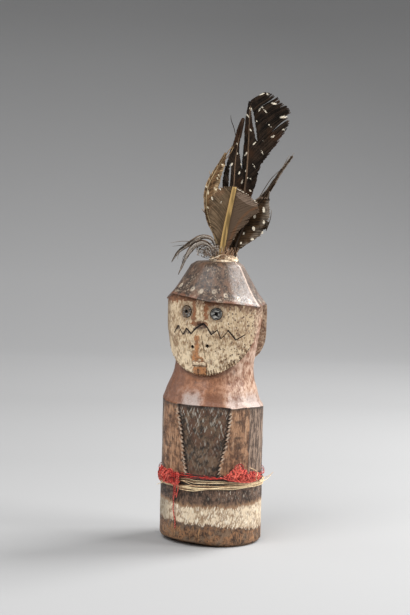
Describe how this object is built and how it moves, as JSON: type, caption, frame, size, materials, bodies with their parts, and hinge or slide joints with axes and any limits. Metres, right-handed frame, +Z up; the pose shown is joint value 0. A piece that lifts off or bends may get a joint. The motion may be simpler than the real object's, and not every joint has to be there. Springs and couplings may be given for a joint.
{
  "type": "oracle figure",
  "caption": "Carved wooden two-faced oracle figure with a faceted cap, a plume of spotted feathers and yarn and fibre bindings round its trunk; stands on its underside.",
  "frame": {"origin": "centre of the underside on which the figure stands", "axes": "+Z up along the figure; the front face looks along -Y; +X is to the right seen from the front"},
  "size_m": [0.0893, 0.0789, 0.3215],
  "materials": {
    "figure_wood": "hand-carved, smoke-darkened and rubbed, with kaolin and ochre",
    "eye_metal": "dull, scratched",
    "packing_fibre": "matted fibre set in resin",
    "feather_dark": "dark brown vane with white spots, slight sheen",
    "feather_straw": "khaki vane with a straw-yellow quill",
    "feather_golden": "golden brown vane with pale spots",
    "feather_down": "grey-brown down",
    "plant_fibre": "dry straw-coloured strands",
    "red_yarn": "matt wool yarn"
  },
  "bodies": {
    "root": {"carved_figure": "figure_wood", "eye_inlay_left": "eye_metal", "eye_inlay_right": "eye_metal", "crown_packing": "packing_fibre", "feather_tall": "feather_dark", "feather_tall_left": "feather_dark", "feather_cut": "feather_straw", "feather_left": "feather_golden", "feather_right": "feather_dark", "feather_down": "feather_down", "fibre_band": "plant_fibre", "red_band": "red_yarn", "red_tuft_left": "red_yarn", "red_tuft_right": "red_yarn", "hanging_thread": "red_yarn"}
  },
  "joints": []
}
